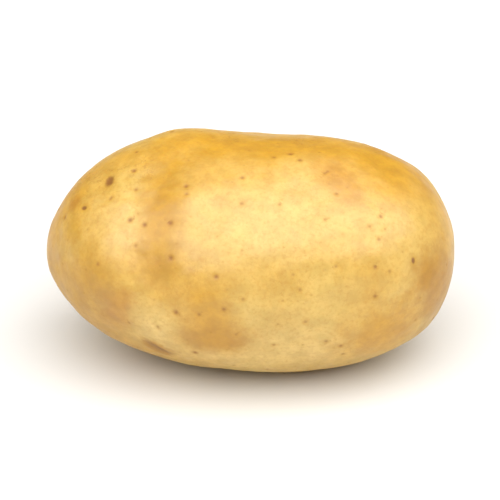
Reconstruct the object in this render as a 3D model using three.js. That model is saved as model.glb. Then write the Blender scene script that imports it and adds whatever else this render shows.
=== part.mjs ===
// A table potato: one tuber, long and a little flattened, lying on the small flat spot it grew on its underside.
//
// Millimetres. +X runs along the tuber to its stem end, +Y to the back and +Z up. The origin is the middle of the
// tuber's bounding box, on the surface it lies on.
import * as THREE from "three";
import { mergeVertices } from "three/addons/utils/BufferGeometryUtils.js";

// ---- Driving dimensions ----
const LENGTH = 88; // rose end to stem end
const WIDTH = 56; // front to back
const HEIGHT = 49.6; // before the underside is flattened
const ROSE_END_FULLNESS = 2.1; // 2 is an ellipse, and more is a blunter end
const STEM_END_FULLNESS = 2.5;
const SAG = 0.8; // how far the tuber's middle hangs below its two ends
const FLAT_DEPTH = 0.9; // how much of the underside the flat spot takes away
const FLAT_BLEND = 0.3; // how gently the flat spot turns into the belly
const SURFACE_DETAIL = 19; // cuts along each edge of the icosahedron that the skin starts from

// Swells and hollows that growth left on the tuber. Each lies round an arc on the surface from one bearing to
// another, fades out over its radius, and stands `rise` out of the skin, or in where rise is negative. A bearing is
// [turn, lift] in degrees: turn 0 faces the stem end, 90 the back, 180 the rose end and -90 the front, and lift is
// the angle above the tuber's middle.
const SWELLS = [
  { name: "rose end shoulder", from: [-161, 28], to: [-150, 10], radius: 9, rise: 0.7 },
  { name: "valley behind the shoulder", from: [-160, 48], to: [-133, 16], radius: 6, rise: -0.9 },
  { name: "upper back of the rose end", from: [156, 34], to: [142, 42], radius: 10, rise: 2.1 },
  { name: "lean belly of the rose end", from: [-168, -12], to: [-150, -20], radius: 9, rise: -0.5 },
  { name: "lower front of the stem end", from: [-60, -32], to: [-12, -22], radius: 11, rise: 1.1 },
  { name: "front cheek", from: [-75, 35], to: [-30, 25], radius: 15, rise: 0.5 },
  { name: "stem end front dimple", from: [-27, 7], to: [-27, 7], radius: 5, rise: -0.8 },
  { name: "stem scar hollow", from: [10, -4], to: [10, -4], radius: 6, rise: -1.1 },
  { name: "back swell", from: [60, 0], to: [100, 5], radius: 16, rise: 0.9 },
  { name: "back waist", from: [132, 0], to: [122, -40], radius: 8, rise: -0.9 },
  { name: "back eye hollow", from: [84, 2], to: [84, 2], radius: 6, rise: -0.6 },
];

// Broad ripples that keep the skin from being perfectly even: each is a wave through the tuber along a heading.
const RIPPLE_RISE = 0.14;
const RIPPLES = [
  { heading: [1, 0.4, 0.7], wavelength: 24, phase: 0.6 },
  { heading: [-0.5, 1, 0.3], wavelength: 19, phase: 2.1 },
  { heading: [0.6, -0.3, 1], wavelength: 16, phase: 4.4 },
];

// ---- The bare tuber ----

// A point of the unit sphere, moved onto the bare tuber: a superellipsoid whose two ends differ in fullness.
function bareTuber(onSphere) {
  const { x, y, z } = onSphere;
  const towardsStem = THREE.MathUtils.smoothstep(x, -0.6, 0.6);
  const fullness = THREE.MathUtils.lerp(ROSE_END_FULLNESS, STEM_END_FULLNESS, towardsStem);
  const across = Math.hypot(y, z);
  const reach = (Math.abs(x) ** fullness + across ** fullness) ** (-1 / fullness);
  const bare = new THREE.Vector3((x * LENGTH) / 2, (y * WIDTH) / 2, (z * HEIGHT) / 2).multiplyScalar(reach);
  bare.z -= SAG * (1 - x * x);
  return bare;
}

// The unit direction of a bearing.
function direction([turn, lift]) {
  const elevation = THREE.MathUtils.degToRad(lift);
  const azimuth = THREE.MathUtils.degToRad(turn);
  return new THREE.Vector3(
    Math.cos(elevation) * Math.cos(azimuth),
    Math.cos(elevation) * Math.sin(azimuth),
    Math.sin(elevation),
  );
}

// ---- Swells, hollows and ripples ----

const ARC_STEPS = 8;

// The point of the bare tuber that lies in a direction from its middle.
function pointTowards({ x, y, z }) {
  return bareTuber(new THREE.Vector3(x / LENGTH, y / WIDTH, z / HEIGHT).normalize());
}

// The points of the bare tuber along a swell's arc.
function arcOf({ from, to }) {
  const start = direction(from);
  const end = direction(to);
  const steps = start.distanceTo(end) > 0 ? ARC_STEPS : 0;
  return Array.from({ length: steps + 1 }, (_, i) => pointTowards(start.clone().lerp(end, steps ? i / steps : 0)));
}

const arcs = SWELLS.map(arcOf);

// The distance from a point to the nearest stretch of an arc.
function distanceToArc(point, arc) {
  if (arc.length === 1) return point.distanceTo(arc[0]);
  const nearest = new THREE.Vector3();
  const stretch = new THREE.Line3();
  let least = Infinity;
  for (let i = 1; i < arc.length; i++) {
    stretch.set(arc[i - 1], arc[i]).closestPointToPoint(point, true, nearest);
    least = Math.min(least, point.distanceTo(nearest));
  }
  return least;
}

// How far one ripple lifts the skin at a point.
function rippleAt(point, { heading, wavelength, phase }) {
  const along = new THREE.Vector3(...heading).normalize().dot(point);
  return RIPPLE_RISE * Math.sin((2 * Math.PI * along) / wavelength + phase);
}

// How far the skin stands out of the bare tuber at a point of it.
function riseAt(point) {
  const swell = SWELLS.reduce((sum, { radius, rise }, i) => {
    const distance = distanceToArc(point, arcs[i]);
    return sum + rise * Math.exp(-((distance / radius) ** 2));
  }, 0);
  return RIPPLES.reduce((sum, ripple) => sum + rippleAt(point, ripple), swell);
}

// ---- The flat spot ----

// Heights below the floor come up to it, and those within the blend above it turn into it smoothly.
function flattened(height, floor) {
  const overlap = Math.max(FLAT_BLEND - Math.abs(height - floor), 0) / FLAT_BLEND;
  return Math.max(height, floor) + (overlap * overlap * FLAT_BLEND) / 4;
}

// ---- The skin ----

function makeSkin() {
  const sphere = new THREE.IcosahedronGeometry(1, SURFACE_DETAIL);
  sphere.deleteAttribute("normal");
  sphere.deleteAttribute("uv");
  const skin = mergeVertices(sphere, 1e-5);
  const places = skin.getAttribute("position");
  const floor = -HEIGHT / 2 - SAG + FLAT_DEPTH;
  const outwards = new THREE.Vector3();

  for (let i = 0; i < places.count; i++) {
    const onSphere = new THREE.Vector3().fromBufferAttribute(places, i).normalize();
    const point = bareTuber(onSphere);
    outwards.set(point.x / LENGTH ** 2, point.y / WIDTH ** 2, point.z / HEIGHT ** 2).normalize();
    point.addScaledVector(outwards, riseAt(point));
    point.z = flattened(point.z, floor);
    places.setXYZ(i, point.x, point.y, point.z);
  }

  skin.computeBoundingBox();
  const middle = skin.boundingBox.getCenter(new THREE.Vector3());
  skin.translate(-middle.x, -middle.y, -skin.boundingBox.min.z);
  skin.computeVertexNormals();
  return skin;
}

const potatoSkin = new THREE.MeshStandardMaterial({
  color: new THREE.Color(0.87, 0.68, 0.37),
  roughness: 0.5,
  metalness: 0,
});

const tuber = new THREE.Mesh(makeSkin(), potatoSkin);
tuber.name = "potato";

const potato = new THREE.Group();
potato.add(tuber);

export default potato;
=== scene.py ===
# %% [markdown]
# # A washed yellow potato
#
# The frame holds one plain solid: a long tuber that lies on its small flat spot. This lesson gives it the skin of a
# real one. A potato looks plain, so nearly everything that makes it real is small: shallow eyes with their brow
# lines, brown pores, dimples that break up the sheen, and a colour that drifts from butter to gold.
#
# The frame comes first, and the box of the plain solid is kept.

# %% Load the frame
import math

import bmesh
import bpy
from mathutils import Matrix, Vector
from mathutils.bvhtree import BVHTree


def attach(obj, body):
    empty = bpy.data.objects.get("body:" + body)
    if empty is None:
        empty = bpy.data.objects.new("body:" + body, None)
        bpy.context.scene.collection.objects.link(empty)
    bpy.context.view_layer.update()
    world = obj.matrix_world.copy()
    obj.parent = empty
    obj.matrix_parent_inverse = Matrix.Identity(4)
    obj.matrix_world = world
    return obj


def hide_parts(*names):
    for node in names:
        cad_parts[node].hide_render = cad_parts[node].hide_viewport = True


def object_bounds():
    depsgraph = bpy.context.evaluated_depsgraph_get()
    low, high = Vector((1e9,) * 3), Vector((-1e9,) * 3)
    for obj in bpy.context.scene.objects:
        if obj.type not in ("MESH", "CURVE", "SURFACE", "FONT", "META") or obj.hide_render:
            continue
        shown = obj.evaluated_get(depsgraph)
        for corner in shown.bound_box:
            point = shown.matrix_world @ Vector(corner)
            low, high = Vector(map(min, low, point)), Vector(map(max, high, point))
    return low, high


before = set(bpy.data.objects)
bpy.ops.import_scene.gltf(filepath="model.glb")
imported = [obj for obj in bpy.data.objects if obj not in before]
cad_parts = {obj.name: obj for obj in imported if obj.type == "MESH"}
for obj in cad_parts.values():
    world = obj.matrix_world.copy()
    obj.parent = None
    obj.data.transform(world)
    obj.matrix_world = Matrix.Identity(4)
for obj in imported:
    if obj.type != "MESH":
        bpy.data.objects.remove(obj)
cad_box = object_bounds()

low, high = cad_box
middle = (low + high) / 2
MM = 0.001
print("the tuber is", [round(side / MM, 1) for side in high - low], "mm")

# %% [markdown]
# ## Camera
#
# A potato on a table is seen from above at a slant. A long lens from some way off keeps its two ends in proportion,
# where a short lens close by would swell the middle. The camera looks along +Y, from 30 degrees up.

# %% Camera
CAMERA_LIFT = math.radians(30)
CAMERA_DISTANCE = 0.75
SENSOR_WIDTH, LENS = 36, 248.6  # both in mm
NEAREST_SEEN, FARTHEST_SEEN = 0.01, 50
AIM_BELOW_MIDDLE = 0.4 * MM


def aimed(thing, lift, turn, distance, target):
    """Stands an object on a bearing round the target and points it there. Turn 0 is the front."""
    back = Vector((math.sin(turn) * math.cos(lift), -math.cos(turn) * math.cos(lift), math.sin(lift)))
    thing.location = target + back * distance
    thing.rotation_euler = back.to_track_quat("Z", "Y").to_euler()
    bpy.context.scene.collection.objects.link(thing)
    return thing


camera = bpy.data.objects.new("camera", bpy.data.cameras.new("camera"))
camera.data.sensor_width, camera.data.lens = SENSOR_WIDTH, LENS
camera.data.clip_start, camera.data.clip_end = NEAREST_SEEN, FARTHEST_SEEN
aim = middle - Vector((0, 0, AIM_BELOW_MIDDLE))
aimed(camera, CAMERA_LIFT, 0, CAMERA_DISTANCE, aim)
bpy.context.scene.camera = camera
print("camera at", [round(place, 3) for place in camera.location])

# %% [markdown]
# ## Node trees in a few words
#
# Both the skin's relief and its colour are node trees, and a tree made in code soon fills pages. A few helpers keep
# it readable. `put` adds a node: a value that is another node's socket is linked, and any other is typed in. The rest
# are the handful of sums that come back all the time.

# %% Helpers for node trees
def put(tree, kind, values=None, **settings):
    """Adds a node. Values are keyed by the socket's name or its number."""
    node = tree.nodes.new(kind)
    for name, setting in settings.items():
        setattr(node, name, setting)
    for key, value in (values or {}).items():
        named = (socket for socket in node.inputs if socket.enabled and socket.name == key)
        socket = node.inputs[key] if isinstance(key, int) else next(named)
        if isinstance(value, bpy.types.NodeSocket):
            tree.links.new(value, socket)
        else:
            socket.default_value = value
    return node


def given(node):
    """The first output that a node has switched on."""
    return next(socket for socket in node.outputs if socket.enabled)


def sums(tree, operation, *values):
    """One sum, such as MULTIPLY, on numbers or sockets."""
    return put(tree, "ShaderNodeMath", dict(enumerate(values)), operation=operation).outputs[0]


def vectors(tree, operation, *values):
    """The same for vectors."""
    node = put(tree, "ShaderNodeVectorMath", dict(enumerate(values)), operation=operation)
    return node.outputs["Value" if operation in ("DOT_PRODUCT", "LENGTH", "DISTANCE") else "Vector"]


def ramp(tree, value, start, end, first=0.0, last=1.0):
    """Goes smoothly from first to last as the value goes from start to end, and stays there."""
    values = {"Value": value, "From Min": start, "From Max": end, "To Min": first, "To Max": last}
    return put(tree, "ShaderNodeMapRange", values, interpolation_type="SMOOTHSTEP").outputs["Result"]


def bell(tree, value, width):
    """1 where the value is 0, falling away on both sides of it like a bell."""
    scaled = sums(tree, "DIVIDE", value, width)
    return sums(tree, "EXPONENT", sums(tree, "MULTIPLY", sums(tree, "MULTIPLY", scaled, scaled), -1.0))


def noise(tree, place, size, detail=2.0, roughness=0.5, shift=0.0):
    """Noise from 0 to 1 whose lumps are about `size` across, in the unit of place. A shift makes it unlike another."""
    moved = vectors(tree, "ADD", place, (shift, shift * 0.7, -shift))
    scale = sums(tree, "DIVIDE", 1.0, size)
    values = {"Vector": moved, "Scale": scale, "Detail": detail, "Roughness": roughness}
    return put(tree, "ShaderNodeTexNoise", values).outputs[0]


def product(tree, *values):
    """All the values multiplied."""
    total = values[0]
    for value in values[1:]:
        total = sums(tree, "MULTIPLY", total, value)
    return total


def total_of(tree, *values):
    """All the values added."""
    total = values[0]
    for value in values[1:]:
        total = sums(tree, "ADD", total, value)
    return total


# %% [markdown]
# ## A finer copy of the tuber
#
# The solid in the frame is made of triangles about 2 mm wide, which is right for physics and too coarse for skin. It
# stays as it is. A copy gets its doubled corners merged, so that it is one closed surface, and two rounds of
# subdivision bring its corners about 0.4 mm apart. That is fine enough for an eye's brow line.

# %% Copy the tuber
MERGE_WITHIN = 0.001 * MM
ROUNDS = 2  # of subdivision


def merged_copy(node, name):
    """A copy of a solid in the frame, with its loose triangles joined."""
    bm = bmesh.new()
    bm.from_mesh(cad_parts[node].data)
    bmesh.ops.remove_doubles(bm, verts=bm.verts, dist=MERGE_WITHIN)
    mesh = bpy.data.meshes.new(name)
    bm.to_mesh(mesh)
    bm.free()
    mesh.materials.clear()
    copy = bpy.data.objects.new(name, mesh)
    bpy.context.scene.collection.objects.link(copy)
    return copy


tuber = merged_copy("potato", "tuber")
finer = tuber.modifiers.new("finer", "SUBSURF")
finer.levels = finer.render_levels = ROUNDS
print("coarse tuber:", len(tuber.data.vertices), "corners")

# %% [markdown]
# ## Places on a tuber
#
# A tuber has no edges to measure from, so a place on it is a bearing from its middle. Turn 0 faces the stem end, -90
# the front, and 180 the rose end, where most of the eyes are. Lift is the angle above the middle. A ray along the
# bearing finds the skin.

# %% Bearings
skin_tree = BVHTree.FromPolygons(
    [corner.co for corner in tuber.data.vertices], [face.vertices for face in tuber.data.polygons]
)


def heading(turn, lift):
    """The direction of a bearing."""
    turn, lift = math.radians(turn), math.radians(lift)
    return Vector((math.cos(lift) * math.cos(turn), math.cos(lift) * math.sin(turn), math.sin(lift)))


def place_on_skin(turn, lift):
    """The point of the skin on a bearing, and the way that the skin faces there."""
    towards = heading(turn, lift)
    point, facing, _, _ = skin_tree.ray_cast(middle + towards, -towards)
    return point, facing


print("the stem scar lies at", [round(x / MM, 1) for x in place_on_skin(10, -4)[0]], "mm")

# %% [markdown]
# ## Eyes and scars
#
# A potato is a swollen stem, and each eye is where a leaf would have grown. The leaf's own scar is the brow, a thin
# curved line, and the bud sits in the hollow beside it. The brow is always on the side of the stem end, because a
# leaf grows below its bud. Eyes are few near the stem end and crowd together at the rose end. Some are blind: the bud
# has dried up, and a small brown hollow without a brow is left. At the very stem end is a round, corky scar where the
# tuber broke off its runner. A lens-shaped scrape that healed brown is on the lower front.
#
# Each mark is kept as one corner of a helper mesh, with the way it faces, the way its brow lies, its size and its
# kind as attributes. The node tree below reads them from there.

# %% Eyes and scars
EYE, SCRAPE, STEM_SCAR, BLIND_EYE = 0, 1, 2, 3
MARKS = [  # turn, lift, size in mm, kind, and degrees that it is turned in its place
    (-173, 32, 2.1, BLIND_EYE, -15),
    (-167, 22, 1.0, BLIND_EYE, 60),
    (-28, 11, 0.9, BLIND_EYE, 10),
    (172, 2, 2.6, EYE, 10),
    (132, 22, 3.2, EYE, -8),
    (150, -24, 2.6, EYE, 12),
    (84, 2, 3.4, EYE, 5),
    (60, 40, 2.6, EYE, -12),
    (38, -26, 2.8, EYE, 14),
    (112, -34, 2.9, EYE, -6),
    (-115, -58, 3.0, EYE, 9),
    (-45, -55, 2.8, EYE, -15),
    (-133, -23, 4.3, SCRAPE, 62),
    (70, -18, 2.4, SCRAPE, -30),
    (10, -4, 3.0, STEM_SCAR, 0),
]


def helper_points(name, points, **attributes):
    """A mesh of loose corners with attributes, each of them a list of vectors or of numbers."""
    mesh = bpy.data.meshes.new(name)
    mesh.from_pydata(points, [], [])
    for attribute, values in attributes.items():
        is_vector = isinstance(values[0], Vector)
        layer = mesh.attributes.new(attribute, "FLOAT_VECTOR" if is_vector else "FLOAT", "POINT")
        for item, value in zip(layer.data, values):
            if is_vector:
                item.vector = value
            else:
                item.value = value
    helper = bpy.data.objects.new(name, mesh)
    bpy.context.scene.collection.objects.link(helper)
    return helper


SHORTEST_WAY = 0.3


def brow_direction(facing, turned):
    """Along the skin towards the stem end, turned by some degrees in the plane of the skin."""
    to_stem = Vector((1, 0, 0)) - facing * facing.x
    if to_stem.length < SHORTEST_WAY:  # the skin faces along the tuber, so up is taken instead
        to_stem = Vector((0, 0, 1)) - facing * facing.z
    to_stem.normalize()
    side = facing.cross(to_stem)
    angle = math.radians(turned)
    return to_stem * math.cos(angle) + side * math.sin(angle)


found = [place_on_skin(turn, lift) for turn, lift, *_ in MARKS]
marks = helper_points(
    "marks",
    [point for point, _ in found],
    facing=[facing for _, facing in found],
    brow=[brow_direction(facing, mark[4]) for (_, facing), mark in zip(found, MARKS)],
    size=[mark[2] * MM for mark in MARKS],
    kind=[float(mark[3]) for mark in MARKS],
)
print(len(MARKS), "eyes and scars")

# %% [markdown]
# ## Pores
#
# The brown dots are lenticels, the pores a tuber breathes through. They keep apart from each other and are denser in
# some patches than in others. Poisson scattering does just that. A few that stand out at the front are listed.

# %% The pores that stand out
SHOWN_PORES = [  # turn, lift, and size, where 1 is a large pore
    (-149, 28, 0.9), (-143, 29, 0.9), (-133, 34, 1.1), (-126, 21, 1.1), (-149, 11, 0.6), (-136, 48, 0.6),
    (-99, 66, 0.7), (-96, 51, 0.6), (-69, 49, 0.5), (-12, 70, 1.0), (-94, 29, 0.35), (-105, 17, 0.8),
    (-69, 11, 0.55), (-120, 0, 0.85), (-111, 0, 0.6), (-101, 3, 0.75), (-43, 4, 0.7), (-41, 14, 0.75),
    (-37, 11, 0.5), (-30, 28, 0.65), (-36, 22, 0.6), (-36, 27, 0.45), (-32, 24, 0.4), (-54, 18, 0.45),
    (-50, 36, 0.5), (-23, 52, 0.6), (-35, 43, 0.6), (-173, 40, 0.9), (-141, 21, 0.5), (-93, 8, 0.5),
    (-96, -10, 0.45), (-59, -13, 0.6), (-53, -16, 0.7), (-115, -22, 0.9), (-139, -9, 0.5), (-163, 30, 0.6),
]
shown_pores = helper_points(
    "shown pores",
    [place_on_skin(turn, lift)[0] for turn, lift, _ in SHOWN_PORES],
    size=[size for _, _, size in SHOWN_PORES],
)
print(len(SHOWN_PORES), "pores placed by hand")

# %% [markdown]
# ## The relief tree
#
# The relief could be sculpted or painted. Geometry Nodes grow it by rule instead, so that one number changes every
# pore. For each corner of the skin the tree finds the nearest mark and the nearest pore, works out where the corner
# lies in that mark's own little map, and lifts or sinks it. It also stores those small maps as attributes. A colour
# can then be drawn from them as sharply as the renderer likes, finer than the corners are, and it always sits on its
# relief.

# %% Start the relief tree
RELIEF_SIZES = {  # in millimetres
    "Pore Spacing": 5.6,
    "Pore Depth": 0.13,
    "Dimple Size": 8.0,
    "Dimple Depth": 0.7,
    "Grain Size": 1.8,
    "Grain Depth": 0.07,
}
PORE_SEED = 11

relief = bpy.data.node_groups.new("skin relief", "GeometryNodeTree")
relief.interface.new_socket("Tuber", in_out="INPUT", socket_type="NodeSocketGeometry")
for name in ("Marks", "Shown Pores"):
    relief.interface.new_socket(name, in_out="INPUT", socket_type="NodeSocketObject")
for name, size in RELIEF_SIZES.items():
    relief.interface.new_socket(name, in_out="INPUT", socket_type="NodeSocketFloat").default_value = size
relief.interface.new_socket("Seed", in_out="INPUT", socket_type="NodeSocketInt").default_value = PORE_SEED
relief.interface.new_socket("Skin", in_out="INPUT", socket_type="NodeSocketMaterial")
relief.interface.new_socket("Potato", in_out="OUTPUT", socket_type="NodeSocketGeometry")

wanted = relief.nodes.new("NodeGroupInput").outputs
position = relief.nodes.new("GeometryNodeInputPosition").outputs[0]
normal = relief.nodes.new("GeometryNodeInputNormal").outputs[0]
in_mm = vectors(relief, "MULTIPLY", position, (1 / MM,) * 3)
print("inputs:", [item.name for item in relief.interface.items_tree if item.in_out == "INPUT"])


def attribute(name, kind="FLOAT"):
    """A value that is kept on the points under a name."""
    return given(put(relief, "GeometryNodeInputNamedAttribute", {"Name": name}, data_type=kind))


def sampled(geometry, index, value, kind="FLOAT"):
    """A value of another geometry's point, by the point's index."""
    values = {"Geometry": geometry, "Value": value, "Index": index}
    return given(put(relief, "GeometryNodeSampleIndex", values, data_type=kind))


def nearest(geometry):
    """The index of another geometry's nearest point."""
    return given(put(relief, "GeometryNodeSampleNearest", {"Geometry": geometry}))


def stored(geometry, name, value, kind="FLOAT"):
    """The geometry, with a value kept on its points under a name."""
    values = {"Geometry": geometry, "Name": name, "Value": value}
    return put(relief, "GeometryNodeStoreNamedAttribute", values, data_type=kind).outputs[0]


# %% [markdown]
# ### Pores in the tree
#
# The scattered pores get random sizes, and noise thins them out in some patches by making them fainter. At the front
# they stay faint, to leave the place to the listed ones. Both are joined into one cloud of points. Each corner of the
# skin then knows how far away its nearest pore is, and in which direction.

# %% Pores in the tree
PLENTY = 1e6  # points a square metre, more than the spacing lets through
SMALLEST_CHANCE, LARGEST_CHANCE = 0.1, 1.25
FEW_LARGE = 1.6  # a power above 1 makes large pores rare
CROWD_SIZE = 24  # of a patch with many pores, in mm
PORE_RADIUS = 0.5  # of its hollow, in mm

spacing = sums(relief, "MULTIPLY", wanted["Pore Spacing"], MM)
scatter = {"Mesh": wanted["Tuber"], "Distance Min": spacing, "Density Max": PLENTY, "Seed": wanted["Seed"]}
scattered = put(relief, "GeometryNodeDistributePointsOnFaces", scatter, distribute_method="POISSON").outputs["Points"]

chances = {"Min": SMALLEST_CHANCE, "Max": LARGEST_CHANCE, "Seed": PORE_SEED + 1}
chance = sums(relief, "POWER", given(put(relief, "FunctionNodeRandomValue", chances)), FEW_LARGE)
patchy = ramp(relief, noise(relief, in_mm, CROWD_SIZE, shift=3.0), 0.4, 0.6, 0.25, 1.0)
forward = vectors(relief, "DOT_PRODUCT", in_mm, (0, -1, 0))
random_size = product(relief, chance, patchy, ramp(relief, forward, 4, 18, 1.0, 0.4))
scattered = stored(scattered, "size", random_size)

by_hand = put(relief, "GeometryNodeObjectInfo", {"Object": wanted["Shown Pores"]}).outputs["Geometry"]
by_hand = put(relief, "GeometryNodeMeshToPoints", {"Mesh": by_hand}).outputs[0]
join = relief.nodes.new("GeometryNodeJoinGeometry")
for points in (by_hand, scattered):
    relief.links.new(points, join.inputs[0])
pores = join.outputs[0]

which_pore = nearest(pores)
pore_at = sampled(pores, which_pore, position, "FLOAT_VECTOR")
pore_size = sampled(pores, which_pore, attribute("size"))
pore_offset = vectors(relief, "MULTIPLY", vectors(relief, "SUBTRACT", position, pore_at), (1 / MM,) * 3)
pore_gap = vectors(relief, "LENGTH", pore_offset)
pore_relief = product(relief, bell(relief, pore_gap, PORE_RADIUS), wanted["Pore Depth"], pore_size, -1.0)
print("pores keep", RELIEF_SIZES["Pore Spacing"], "mm apart")

# %% [markdown]
# ### Eyes and scars in the tree
#
# A mark's own map has two axes measured in the mark's size: `across`, and `along` towards its brow. On that map an
# eye is a wide shallow hollow, a thin raised crescent and a small bud. A blind eye is the hollow alone. A scrape is a
# groove between two lips that taper to points. The stem scar is a ring round a stub.

# %% Eyes and scars in the tree
mark_points = put(relief, "GeometryNodeObjectInfo", {"Object": wanted["Marks"]}).outputs["Geometry"]
which_mark = nearest(mark_points)
mark_at = sampled(mark_points, which_mark, position, "FLOAT_VECTOR")
mark_facing = sampled(mark_points, which_mark, attribute("facing", "FLOAT_VECTOR"), "FLOAT_VECTOR")
mark_brow = sampled(mark_points, which_mark, attribute("brow", "FLOAT_VECTOR"), "FLOAT_VECTOR")
mark_size = sampled(mark_points, which_mark, attribute("size"))
mark_kind = sampled(mark_points, which_mark, attribute("kind"))

mark_offset = vectors(relief, "SUBTRACT", position, mark_at)
mark_side = vectors(relief, "CROSS_PRODUCT", mark_facing, mark_brow)
across = sums(relief, "DIVIDE", vectors(relief, "DOT_PRODUCT", mark_offset, mark_side), mark_size)
along = sums(relief, "DIVIDE", vectors(relief, "DOT_PRODUCT", mark_offset, mark_brow), mark_size)
mark_gap = sums(relief, "DIVIDE", vectors(relief, "LENGTH", mark_offset), mark_size)
mark_map = put(relief, "ShaderNodeCombineXYZ", {"X": across, "Y": along, "Z": mark_kind}).outputs[0]


def is_kind(tree, kind, of):
    """1 where the nearest mark is of this kind, else 0."""
    return put(tree, "ShaderNodeMath", {0: kind, 1: float(of), 2: 0.5}, operation="COMPARE").outputs[0]


def reach(tree, x, y, wide=1.0, tall=1.0):
    """The distance from a map's middle, where the map is first squeezed by wide and tall."""
    flat = put(tree, "ShaderNodeCombineXYZ", {"X": sums(tree, "DIVIDE", x, wide), "Y": sums(tree, "DIVIDE", y, tall)})
    return vectors(tree, "LENGTH", flat.outputs[0])


def crescent(tree, x, y, width):
    """A thin arc above the middle that fades out at its two ends."""
    ring = bell(tree, sums(tree, "SUBTRACT", reach(tree, x, y, 1.15, 0.8), 0.95), width)
    return product(tree, ring, ramp(tree, y, 0.2, 0.6))


def lens(tree, x):
    """How wide a lens-shaped scar is at a place along it: 1 in the middle and 0 past its points."""
    return ramp(tree, sums(tree, "ABSOLUTE", x), 0.2, 1.05, 1.0, 0.0)


# %% Shapes of the marks
# How far each detail rises, or sinks where it is below zero, as a share of the mark's size.
EYE_HOLLOW, BROW_RISE, BUD_RISE = -0.19, 0.07, 0.08
GROOVE, LIPS = -0.06, 0.035
STEM_RING, STEM_STUB = -0.1, 0.13
BLIND_HOLLOW = -0.16
BROW_WIDTH = 0.17

hollow = product(relief, bell(relief, reach(relief, across, along, 1.1, 0.65), 1.0), EYE_HOLLOW)
brow = product(relief, crescent(relief, across, along, BROW_WIDTH), BROW_RISE)
bud = product(relief, bell(relief, reach(relief, across, along), 0.24), BUD_RISE)
eye_relief = product(relief, total_of(relief, hollow, brow, bud), is_kind(relief, mark_kind, EYE))

groove = product(relief, bell(relief, along, 0.2), GROOVE)
lips = product(relief, bell(relief, sums(relief, "SUBTRACT", sums(relief, "ABSOLUTE", along), 0.42), 0.14), LIPS)
scrape_relief = product(
    relief, total_of(relief, groove, lips), lens(relief, across), is_kind(relief, mark_kind, SCRAPE)
)

ring = product(relief, bell(relief, sums(relief, "SUBTRACT", mark_gap, 0.8), 0.28), STEM_RING)
stub = product(relief, bell(relief, mark_gap, 0.42), STEM_STUB)
stem_relief = product(relief, total_of(relief, ring, stub), is_kind(relief, mark_kind, STEM_SCAR))

blind_hollow = product(relief, bell(relief, reach(relief, across, along, 1.0, 0.6), 1.0), BLIND_HOLLOW)
blind_relief = product(relief, blind_hollow, is_kind(relief, mark_kind, BLIND_EYE))

near_mark = ramp(relief, mark_gap, 1.6, 2.4, 1.0, 0.0)
mark_in_mm = sums(relief, "DIVIDE", mark_size, MM)
all_marks = total_of(relief, eye_relief, scrape_relief, stem_relief, blind_relief)
mark_relief = product(relief, all_marks, near_mark, mark_in_mm)
print("the relief tree so far:", len(relief.nodes), "nodes")

# %% [markdown]
# ### Dimples and grain
#
# No skin is smooth. Broad dimples bend the sheen, and a fine grain roughens it. Both are noise, centred on zero so
# that the potato doesn't grow. Pores give way round an eye or a scar. Under the potato the relief fades out, since the
# flat spot has to stay on the floor.

# %% Dimples, grain and the end of the tree
FLAT_BELOW, FULL_ABOVE = 0.2 * MM, 1.6 * MM


def swing(value, depth):
    """Noise from 0 to 1 turned into a rise and fall of this depth."""
    return sums(relief, "MULTIPLY", sums(relief, "SUBTRACT", value, 0.5), depth)


dimples = swing(noise(relief, in_mm, wanted["Dimple Size"], 2.0, 0.45), wanted["Dimple Depth"])
grain = swing(noise(relief, in_mm, wanted["Grain Size"], 2.0, 0.6, shift=9.0), wanted["Grain Depth"])

height = put(relief, "ShaderNodeSeparateXYZ", {0: position}).outputs["Z"]
off_floor = ramp(relief, height, FLAT_BELOW, FULL_ABOVE)
clear_of_marks = ramp(relief, mark_gap, 1.2, 1.9)
pore_size = product(relief, pore_size, clear_of_marks)
pore_relief = product(relief, pore_relief, clear_of_marks)
rise = product(relief, total_of(relief, dimples, grain, pore_relief, mark_relief), off_floor, MM)

surface = stored(wanted["Tuber"], "pore_offset", pore_offset, "FLOAT_VECTOR")
surface = stored(surface, "pore_gap", pore_gap)
surface = stored(surface, "pore_size", pore_size)
surface = stored(surface, "mark_map", mark_map, "FLOAT_VECTOR")
surface = stored(surface, "mark_gap", mark_gap)
lift = vectors(relief, "SCALE", normal)
relief.links.new(rise, lift.node.inputs["Scale"])
surface = put(relief, "GeometryNodeSetPosition", {"Geometry": surface, "Offset": lift}).outputs[0]
surface = put(relief, "GeometryNodeSetShadeSmooth", {0: surface}).outputs[0]
surface = put(relief, "GeometryNodeRealizeInstances", {0: surface}).outputs[0]
surface = put(relief, "GeometryNodeSetMaterial", {"Geometry": surface, "Material": wanted["Skin"]}).outputs[0]
put(relief, "NodeGroupOutput", {0: surface})
print("relief tree:", len(relief.nodes), "nodes")

# %% [markdown]
# ## The skin's colour
#
# Potato skin is thin and a little see-through, so its colour is soft: straw over most of it, butter here and there,
# and pale brown where it rubbed against the soil. Some patches are painted light: pale painted highlight where the
# sheen lies, gold, ochre and amber painted shade in the valley, along the top and at the right end, with warm painted
# reflected light at the right end, and a pale painted reflection of the floor along the lower front. A painted image
# would need the surface unwrapped. Noise in space needs no map, and it has no seams. Everything here is measured in
# millimetres.

# %% Start the skin material
skin = bpy.data.materials.new("potato skin")
skin.use_nodes = True
shade = skin.node_tree
shade.nodes.clear()
object_place = shade.nodes.new("ShaderNodeTexCoord").outputs["Object"]
place = vectors(shade, "MULTIPLY", object_place, (1 / MM,) * 3)


def paint(red, green, blue):
    """A colour as a paint chart gives it, from 0 to 255, in the linear values that a shader takes."""
    def linear(part):
        part /= 255
        return part / 12.92 if part <= 0.04045 else ((part + 0.055) / 1.055) ** 2.4
    return (linear(red), linear(green), linear(blue), 1.0)


def blend(share, under, over, how="MIX"):
    """One colour laid over another, by a share from 0 to 1."""
    node = put(shade, "ShaderNodeMix", {0: share, 6: under, 7: over}, data_type="RGBA", blend_type=how)
    return node.outputs[2]


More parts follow.
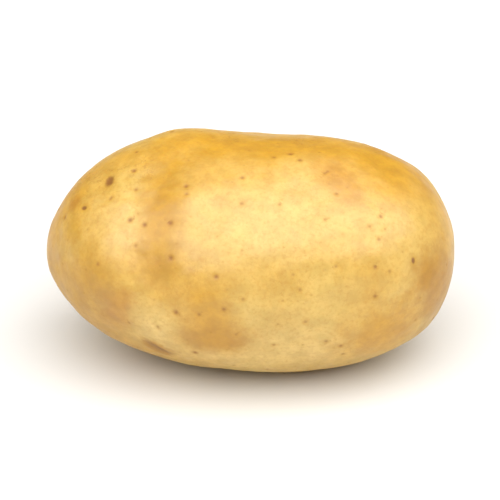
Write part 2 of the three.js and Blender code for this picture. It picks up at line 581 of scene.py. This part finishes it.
STRAW = paint(197, 154, 62)
BUTTER_AND_PAINTED_SHEEN = paint(202, 169, 86)
GOLD_AND_PAINTED_SHADE = paint(190, 139, 4)
OCHRE_AND_PAINTED_SHADE = paint(178, 130, 0)
ORANGE = paint(176, 119, 0)
PAINTED_SHADE_AND_GLOW = paint(168, 119, 0)
SOIL_BROWN = paint(176, 126, 0)
PAINTED_LIGHT_PALE = paint(214, 180, 100)
NET_BROWN = paint(150, 100, 20)
DRIFT_SIZE = 26

drift = ramp(shade, noise(shade, place, DRIFT_SIZE, 2.0, 0.5, shift=5.0), 0.38, 0.66)
colour = blend(drift, STRAW, BUTTER_AND_PAINTED_SHEEN)
print("the skin drifts from straw to butter over", DRIFT_SIZE, "mm")

# %% [markdown]
# ### Patches
#
# Real colour patches have a place and ragged edges. Each is an ellipsoid in space, on a bearing, stretched along the
# skin, and noise moves its edge in and out. Some of these patches are not the skin's own colour but painted light:
# painted highlight, painted shade and a painted reflection of the floor, each marked in the list.

# %% Patches
def frayed_by(size, detail, roughness, amount):
    """Noise round zero that moves an edge in and out."""
    return sums(shade, "MULTIPLY", sums(shade, "SUBTRACT", noise(shade, place, size, detail, roughness), 0.5), amount)


ragged = frayed_by(5, 4.0, 0.62, 1.5)


def patch(turn, lift, wide, tall, tilt=0.0, soft=0.7):
    """1 inside a patch and 0 outside it. Wide and tall are its half sizes in mm, and tilt turns it, in degrees."""
    point, facing = place_on_skin(turn, lift)
    turned = (brow_direction(facing, tilt), facing.cross(brow_direction(facing, tilt)))
    away = vectors(shade, "SUBTRACT", place, tuple(point / MM))
    x = sums(shade, "DIVIDE", vectors(shade, "DOT_PRODUCT", away, tuple(turned[0])), wide)
    y = sums(shade, "DIVIDE", vectors(shade, "DOT_PRODUCT", away, tuple(turned[1])), tall)
    z = sums(shade, "DIVIDE", vectors(shade, "DOT_PRODUCT", away, tuple(facing)), max(wide, tall))
    inside = put(shade, "ShaderNodeCombineXYZ", {"X": x, "Y": y, "Z": z}).outputs[0]
    edge = sums(shade, "ADD", vectors(shade, "LENGTH", inside), ragged)
    return ramp(shade, edge, 1.0 - soft, 1.0 + soft, 1.0, 0.0)


PATCHES_AND_PAINTED_LIGHT = [  # colour, strength, then where and how large
    # The first three are painted highlight: pale butter laid where the sheen lies on the top front, the right end and
    # the left shoulder.
    (BUTTER_AND_PAINTED_SHEEN, 0.7, dict(turn=-72, lift=38, wide=24, tall=9)),
    (BUTTER_AND_PAINTED_SHEEN, 0.7, dict(turn=-25, lift=21, wide=7, tall=7)),
    (BUTTER_AND_PAINTED_SHEEN, 0.8, dict(turn=-158, lift=26, wide=5, tall=6)),
    # Painted shade: a darker golden band in the hollow behind the left shoulder.
    (OCHRE_AND_PAINTED_SHADE, 1.0, dict(turn=-145, lift=40, wide=4.5, tall=13, soft=0.9)),
    (OCHRE_AND_PAINTED_SHADE, 0.7, dict(turn=-133, lift=22, wide=4, tall=7)),
    # Painted shade: a darker gold band along the top.
    (GOLD_AND_PAINTED_SHADE, 0.9, dict(turn=20, lift=72, wide=34, tall=6)),
    (OCHRE_AND_PAINTED_SHADE, 0.7, dict(turn=-163, lift=-4, wide=14, tall=9)),
    (GOLD_AND_PAINTED_SHADE, 0.7, dict(turn=172, lift=8, wide=9, tall=22)),
    (OCHRE_AND_PAINTED_SHADE, 0.6, dict(turn=-148, lift=5, wide=7, tall=6)),
    # Partly painted shade: an orange patch on the lower left, made stronger to darken that side.
    (ORANGE, 0.6, dict(turn=-142, lift=-5, wide=3.5, tall=6, tilt=-15)),
    (ORANGE, 0.7, dict(turn=-173, lift=20, wide=1.8, tall=1.8)),
    # Painted light: a pale painted reflection of the floor along the lower front, and a pale painted highlight above
    # the scrape.
    (PAINTED_LIGHT_PALE, 0.9, dict(turn=-75, lift=-22, wide=26, tall=5)),
    (PAINTED_LIGHT_PALE, 1.0, dict(turn=-128, lift=-7, wide=4.5, tall=4)),
    (GOLD_AND_PAINTED_SHADE, 0.8, dict(turn=-106, lift=-3, wide=5, tall=7, tilt=20)),
    (SOIL_BROWN, 0.9, dict(turn=-104, lift=-14, wide=7, tall=3.6)),
    (ORANGE, 0.6, dict(turn=-26, lift=46, wide=3.5, tall=6.5, tilt=30)),
    # Painted shade on the lower right, then painted shade with warm painted reflected light at the right end.
    (GOLD_AND_PAINTED_SHADE, 0.9, dict(turn=-38, lift=-12, wide=10, tall=8)),
    (PAINTED_SHADE_AND_GLOW, 0.8, dict(turn=-16, lift=-5, wide=8, tall=11)),
    (PAINTED_SHADE_AND_GLOW, 0.9, dict(turn=-24, lift=4, wide=4, tall=5, tilt=15)),
    # Painted shade: a gold band along the upper edge of the right end.
    (GOLD_AND_PAINTED_SHADE, 0.8, dict(turn=4, lift=34, wide=6, tall=16)),
    (GOLD_AND_PAINTED_SHADE, 0.6, dict(turn=110, lift=20, wide=14, tall=8, tilt=20)),
    (SOIL_BROWN, 0.6, dict(turn=60, lift=-10, wide=12, tall=7, tilt=-30)),
]
for tint, strength, where in PATCHES_AND_PAINTED_LIGHT:
    colour = blend(product(shade, patch(**where), strength), colour, tint)
print(len(PATCHES_AND_PAINTED_LIGHT), "patches")

# %% [markdown]
# ### Mottling
#
# Three sizes of variation sit on top: clouds a few millimetres wide, fine warm specks, and a faint brown net where the
# outer skin has cracked and healed, as russet skins do all over. The net is stronger on the side that lay deeper in
# the soil, at the back.

# %% Mottling
CLOUD_SIZE, SPECK_SIZE, NETTED_SIZE = 3.4, 0.8, 13
CRACKS_PER_MM, BENDS_PER_MM = 0.85, 0.8
CRACK_BEND = 2.4
STRONGEST_SPECK, STRONGEST_NET = 0.26, 0.5

clouds = ramp(shade, noise(shade, place, CLOUD_SIZE, 4.0, 0.6, shift=12.0), 0.3, 0.72, 0.88, 1.08)
warmer = {0: clouds, 1: sums(shade, "POWER", clouds, 1.2), 2: sums(shade, "POWER", clouds, 2.0)}
colour = blend(1.0, colour, put(shade, "ShaderNodeCombineColor", warmer).outputs[0], "MULTIPLY")
specks = ramp(shade, noise(shade, place, SPECK_SIZE, 2.0, 0.6, shift=20.0), 0.45, 0.7, 0.0, STRONGEST_SPECK)
colour = blend(specks, colour, ORANGE)

backward = put(shade, "ShaderNodeSeparateXYZ", {0: place}).outputs["Y"]
at_back = ramp(shade, backward, -14, 4, 0.25, 1.0)
warp = put(shade, "ShaderNodeTexNoise", {"Vector": place, "Scale": BENDS_PER_MM, "Detail": 3.0}).outputs["Color"]
bent = vectors(shade, "ADD", place, vectors(shade, "MULTIPLY", warp, (CRACK_BEND,) * 3))
cells = {"Vector": bent, "Scale": CRACKS_PER_MM}
cracks = put(shade, "ShaderNodeTexVoronoi", cells, feature="DISTANCE_TO_EDGE").outputs[0]
broken = ramp(shade, noise(shade, place, 1.4, 2.0, 0.6, shift=37.0), 0.42, 0.6)
net = product(shade, ramp(shade, cracks, 0.02, 0.13, 1.0, 0.0), broken)
netted = ramp(shade, noise(shade, place, NETTED_SIZE, 3.0, 0.6, shift=31.0), 0.48, 0.64, 0.0, STRONGEST_NET)
net_here = product(shade, netted, at_back)
colour = blend(product(shade, net, net_here), colour, NET_BROWN)
print("the net's cells are about", round(1 / CRACKS_PER_MM, 1), "mm wide")

# %% [markdown]
# ### Pores and marks in colour
#
# The relief tree left each pore's and mark's own map on the mesh, so the dots are drawn from those, with soft
# edges and a golden halo. Far from a pore the map jumps to the next one, and the stored gap masks that place out.

# %% Pores and marks in colour
def read(name, vector=False):
    """What the relief tree stored under a name, in the material."""
    node = put(shade, "ShaderNodeAttribute", attribute_type="GEOMETRY", attribute_name=name)
    return node.outputs["Vector" if vector else "Fac"]


PORE_BROWN = paint(136, 84, 0)
EYE_BROWN = paint(134, 89, 0)
BUD_BROWN = paint(126, 77, 0)
CORK = paint(160, 116, 52)
SMALLEST_DOT, LARGEST_DOT = 0.24, 0.62  # in mm
FAINTEST_DOT, DARKEST_DOT = 0.15, 0.92
HALO_RADIUS, HALO_STRENGTH = 1.0, 0.45

wobble = frayed_by(0.5, 1.0, 0.5, 0.25)
pore_is_near = ramp(shade, read("pore_gap"), 0.8, 1.2, 1.0, 0.0)
from_pore = sums(shade, "ADD", vectors(shade, "LENGTH", read("pore_offset", True)), wobble)
size_here = read("pore_size")
dot_radius = ramp(shade, size_here, 0.0, 1.2, SMALLEST_DOT, LARGEST_DOT)
dot_shape = bell(shade, from_pore, dot_radius)
dot = product(shade, dot_shape, ramp(shade, size_here, 0.0, 1.0, FAINTEST_DOT, DARKEST_DOT), pore_is_near)
halo = product(shade, bell(shade, from_pore, HALO_RADIUS), size_here, HALO_STRENGTH, pore_is_near)
colour = blend(halo, colour, GOLD_AND_PAINTED_SHADE)
colour = blend(dot, colour, PORE_BROWN)
print("pore dots reach out", SMALLEST_DOT, "to", LARGEST_DOT, "mm")

# %% Eyes and scars in colour
BROW_LINE = 0.11  # its width, thinner than the brow's own relief

mark_axes = put(shade, "ShaderNodeSeparateXYZ", {0: read("mark_map", True)}).outputs
mark_x, mark_y, kind_here = mark_axes[0], mark_axes[1], mark_axes[2]
mark_is_near = ramp(shade, read("mark_gap"), 1.7, 2.3, 1.0, 0.0)
frayed = frayed_by(1.0, 3.0, 0.5, 0.7)


def mark_colour(under, kind, shape, strength, tint):
    """Lays a tint over the colour where the nearest mark is of this kind."""
    share = product(shade, shape, is_kind(shade, kind_here, kind), mark_is_near, strength)
    return blend(share, under, tint)


spread = sums(shade, "ADD", reach(shade, mark_x, mark_y, 1.2, 0.8), frayed)
colour = mark_colour(colour, EYE, bell(shade, spread, 1.15), 0.55, GOLD_AND_PAINTED_SHADE)
here_and_there = ramp(shade, noise(shade, place, 1.1, 2.0), 0.35, 0.6, 0.25, 1.0)
brow_line = product(shade, crescent(shade, mark_x, mark_y, BROW_LINE), here_and_there)
colour = mark_colour(colour, EYE, brow_line, 0.75, EYE_BROWN)
pit = sums(shade, "ADD", reach(shade, mark_x, mark_y, 0.62, 0.36), frayed)
colour = mark_colour(colour, EYE, ramp(shade, pit, 0.5, 1.3, 1.0, 0.0), 0.85, EYE_BROWN)

blind = sums(shade, "ADD", reach(shade, mark_x, mark_y, 1.0, 0.62), frayed)
colour = mark_colour(colour, BLIND_EYE, bell(shade, blind, 1.5), 0.7, OCHRE_AND_PAINTED_SHADE)
colour = mark_colour(colour, BLIND_EYE, ramp(shade, blind, 0.35, 1.1, 1.0, 0.0), 0.95, BUD_BROWN)

lens_edge = sums(shade, "ADD", reach(shade, mark_x, mark_y, 1.0, 0.7), frayed)
colour = mark_colour(colour, SCRAPE, ramp(shade, lens_edge, 0.6, 1.2, 1.0, 0.0), 0.85, SOIL_BROWN)
colour = mark_colour(colour, SCRAPE, product(shade, bell(shade, mark_y, 0.3), lens(shade, mark_x)), 0.85, EYE_BROWN)

from_stem = sums(shade, "ADD", reach(shade, mark_x, mark_y), frayed)
colour = mark_colour(colour, STEM_SCAR, ramp(shade, from_stem, 0.7, 1.5, 1.0, 0.0), 0.75, CORK)
colour = mark_colour(colour, STEM_SCAR, bell(shade, sums(shade, "SUBTRACT", from_stem, 0.75), 0.2), 0.7, EYE_BROWN)
print("the skin material so far:", len(shade.nodes), "nodes")

# %% [markdown]
# ### Sheen, softness and fine bump
#
# Washed skin has a soft satin sheen that comes and goes with its waxiness, while pores and healed cracks are dull
# cork. Light also goes a little way into the skin. One bump adds what is too fine for the mesh.

# %% Sheen, softness and fine bump
WAXIEST, DRIEST = 0.38, 0.52  # as roughness
CORK_DULLNESS = 0.15
WAXY_SIZE, PIT_SIZE, WRINKLE_SIZE = 7, 0.45, 1.3
PIT_SHARE, WRINKLE_SHARE, PORE_SHARE, NET_SHARE = 0.35, 0.65, -0.8, 0.7  # of the bump's height
BUMP_DEPTH = 0.08 * MM

waxy = ramp(shade, noise(shade, place, WAXY_SIZE, 3.0, 0.6, shift=44.0), 0.3, 0.7, WAXIEST, DRIEST)
dull = sums(shade, "MAXIMUM", product(shade, dot_shape, pore_is_near), product(shade, net, net_here))
roughness = sums(shade, "ADD", waxy, product(shade, dull, CORK_DULLNESS))

pits = product(shade, noise(shade, place, PIT_SIZE, 2.0, 0.6, shift=50.0), PIT_SHARE)
wrinkles = product(shade, noise(shade, place, WRINKLE_SIZE, 2.0, 0.5, shift=60.0), WRINKLE_SHARE)
sunken_pores = product(shade, dot, PORE_SHARE)
raised_net = product(shade, net, net_here, NET_SHARE)
bump_height = total_of(shade, pits, wrinkles, sunken_pores, raised_net)
bump = put(shade, "ShaderNodeBump", {"Height": bump_height, "Strength": 0.5, "Distance": BUMP_DEPTH}).outputs[0]

FINISH = {
    "Base Color": colour,
    "Roughness": roughness,
    "Normal": bump,
    "IOR": 1.5,
    "Specular IOR Level": 0.9,
    "Subsurface Weight": 0.15,
    "Subsurface Radius": (1.0, 0.6, 0.25),
    "Subsurface Scale": 0.7 * MM,
}
surface_shader = put(shade, "ShaderNodeBsdfPrincipled", FINISH)
put(shade, "ShaderNodeOutputMaterial", {"Surface": surface_shader.outputs[0]})
print("skin material:", len(shade.nodes), "nodes")

# %% [markdown]
# ## Grow the skin
#
# The tree's inputs are set on the modifier by each socket's identifier. Then the finished surface is taken off the
# evaluated tuber as a plain mesh, and the helpers are thrown away.

# %% Grow the skin
grow = tuber.modifiers.new("skin relief", "NODES")
grow.node_group = relief
identifiers = {item.name: item.identifier for item in relief.interface.items_tree if item.in_out == "INPUT"}
inputs = {"Marks": marks, "Shown Pores": shown_pores, "Seed": PORE_SEED, "Skin": skin, **RELIEF_SIZES}
for name, value in inputs.items():
    grow[identifiers[name]] = value

evaluated = tuber.evaluated_get(bpy.context.evaluated_depsgraph_get())
grown = bpy.data.meshes.new_from_object(evaluated)
grown.name = "potato skin"
potato = bpy.data.objects.new("potato_with_skin", grown)
bpy.context.scene.collection.objects.link(potato)
for helper in (tuber, marks, shown_pores):
    bpy.data.objects.remove(helper)
triangles = sum(len(face.vertices) - 2 for face in grown.polygons)
print("finished potato:", len(grown.vertices), "corners and", triangles, "triangles")

# %% [markdown]
# ## Floor and light
#
# Food looks its best on white, under one very large soft light that is nearly overhead. The light's reflection is the
# broad pale sheen along the top, and the sheen ends at the light's lower edge. The white floor throws light back under
# the belly.
#
# A studio's walls would be far away. Here the world stands for them, and it does two things. What the camera sees of
# it is plain white, so that the round floor ends without a line. As a light it is a dim, warm room, so that the
# shadows keep some depth. The Light Path node tells the two apart.

# %% Floor
FLOOR_RADIUS, FLOOR_CORNERS = 0.5, 96
FLOOR_WHITE, FLOOR_ROUGHNESS = (0.72, 0.72, 0.72, 1), 0.8

bm = bmesh.new()
bmesh.ops.create_circle(bm, cap_ends=True, radius=FLOOR_RADIUS, segments=FLOOR_CORNERS)
floor_mesh = bpy.data.meshes.new("floor")
bm.to_mesh(floor_mesh)
bm.free()
floor = bpy.data.objects.new("floor", floor_mesh)
bpy.context.scene.collection.objects.link(floor)
white = bpy.data.materials.new("white floor")
white.use_nodes = True
white_shader = white.node_tree.nodes["Principled BSDF"].inputs
white_shader["Base Color"].default_value = FLOOR_WHITE
white_shader["Roughness"].default_value = FLOOR_ROUGHNESS
floor_mesh.materials.append(white)
print("floor:", 2 * FLOOR_RADIUS, "m across")

# %% Studio and light
ROOM_TINT, ROOM_BRIGHTNESS = (1.0, 0.9, 0.72, 1), 0.36

world = bpy.data.worlds.new("studio")
world.use_nodes = True
bpy.context.scene.world = world
studio = world.node_tree
studio.nodes.clear()
dim_room = put(studio, "ShaderNodeBackground", {"Color": ROOM_TINT, "Strength": ROOM_BRIGHTNESS})
white_wall = put(studio, "ShaderNodeBackground", {"Color": (1, 1, 1, 1), "Strength": 1.0})
seen_directly = studio.nodes.new("ShaderNodeLightPath").outputs["Is Camera Ray"]
room = put(studio, "ShaderNodeMixShader", {0: seen_directly, 1: dim_room.outputs[0], 2: white_wall.outputs[0]})
put(studio, "ShaderNodeOutputWorld", {"Surface": room.outputs[0]})


def softbox(name, turn, lift, distance, wide, tall, radiance):
    """A rectangular light that faces the potato. Radiance is how bright its face looks, where white is 1."""
    light = bpy.data.lights.new(name, "AREA")
    light.shape = "RECTANGLE"
    light.size, light.size_y = wide, tall
    light.energy = radiance * math.pi * wide * tall
    return aimed(bpy.data.objects.new(name, light), math.radians(lift), math.radians(turn), distance, middle)


key = softbox("key", turn=14, lift=71, distance=1.3, wide=4.0, tall=2.05, radiance=2.75)
bpy.context.scene.view_settings.view_transform = "Standard"
print("key light:", round(key.data.energy, 1), "W")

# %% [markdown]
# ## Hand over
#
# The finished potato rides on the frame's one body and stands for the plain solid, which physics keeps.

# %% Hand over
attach(potato, "root")
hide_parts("potato")
